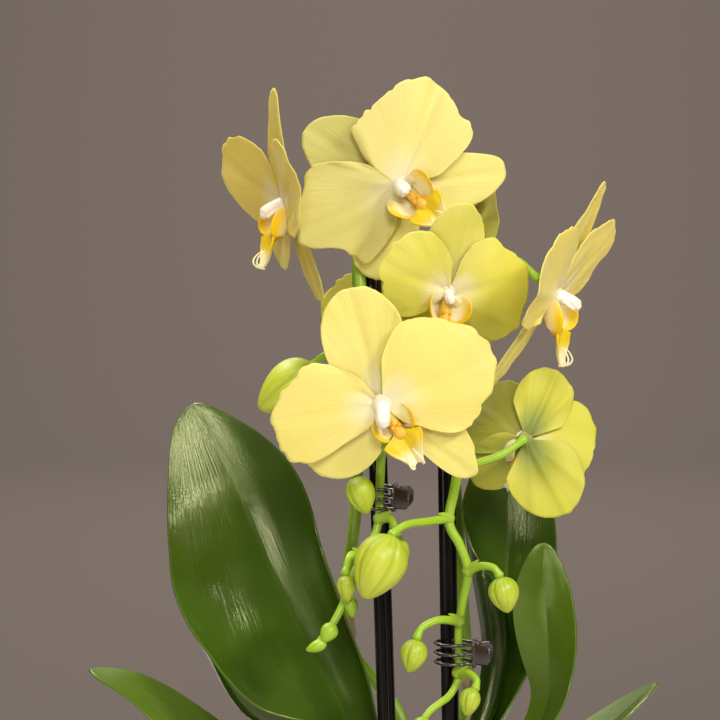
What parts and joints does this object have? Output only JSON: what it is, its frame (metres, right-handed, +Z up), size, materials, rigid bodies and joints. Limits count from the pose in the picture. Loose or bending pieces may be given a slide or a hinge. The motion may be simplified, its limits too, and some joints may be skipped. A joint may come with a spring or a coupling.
{
  "type": "potted orchid",
  "caption": "Flowering orchid in a plain round pot: arching spikes with pale yellow blooms and buds, clipped to wire hoops, over broad strap leaves and bark.",
  "frame": {"origin": "centre of the pot's flat bottom, on the surface it stands on", "axes": "+Z up, -Y towards the side that most blooms face, +X to the right as seen from there"},
  "size_m": [0.2449, 0.1673, 0.4552],
  "materials": {
    "pot": "satin glaze",
    "bark": "rough bark",
    "leaf": "waxy leaf",
    "stem": "smooth green stem",
    "root": "dull silver-green",
    "bud": "waxy",
    "tepal": "soft waxy petal",
    "column": "soft waxy petal",
    "lip": "soft waxy petal",
    "hoop": "glossy dark coating",
    "clip": "glossy dark brown"
  },
  "bodies": {
    "root": {"pot": "pot", "bark": "bark", "crown": "leaf", "hoop_left": "hoop", "hoop_right": "hoop", "clip_left_back": "clip", "clip_right_back": "clip", "root_1": "root", "root_2": "root", "root_3": "root", "leaf_1": "leaf", "leaf_2": "leaf", "leaf_3": "leaf", "leaf_4": "leaf", "leaf_5": "leaf", "spike_left": "stem", "spike_right": "stem", "bud_1": "bud", "bud_2": "bud", "bud_3": "bud", "bud_4": "bud", "bud_5": "bud", "bud_6": "bud", "bud_7": "bud", "bud_8": "bud", "bloom_1_tepals": "tepal", "bloom_1_column": "column", "bloom_1_lip": "lip", "bloom_2_tepals": "tepal", "bloom_2_column": "column", "bloom_2_lip": "lip", "bloom_3_tepals": "tepal", "bloom_3_column": "column", "bloom_3_lip": "lip", "bloom_4_tepals": "tepal", "bloom_4_column": "column", "bloom_4_lip": "lip", "bloom_5_tepals": "tepal", "bloom_5_column": "column", "bloom_5_lip": "lip", "bloom_6_tepals": "tepal", "bloom_6_column": "column", "bloom_6_lip": "lip", "bloom_7_tepals": "tepal", "bloom_7_column": "column", "bloom_7_lip": "lip", "bloom_8_tepals": "tepal", "bloom_8_column": "column", "bloom_8_lip": "lip"},
    "clip_left_front": {"clip_left_front": "clip"},
    "clip_right_front": {"clip_right_front": "clip"}
  },
  "joints": [
    {"name": "clip_left_hinge", "type": "hinge", "parent": "root", "child": "clip_left_front", "pos_m": [-0.00748, -0.0298, 0.28], "axis": [0, 0, 1], "range_deg": [0, 28], "stiffness_Nm_per_rad": 0.01, "springref_deg": -11.46},
    {"name": "clip_right_hinge", "type": "hinge", "parent": "root", "child": "clip_right_front", "pos_m": [0.0263, -0.02912, 0.214], "axis": [0, 0, 1], "range_deg": [0, 28], "stiffness_Nm_per_rad": 0.01, "springref_deg": -11.46}
  ]
}
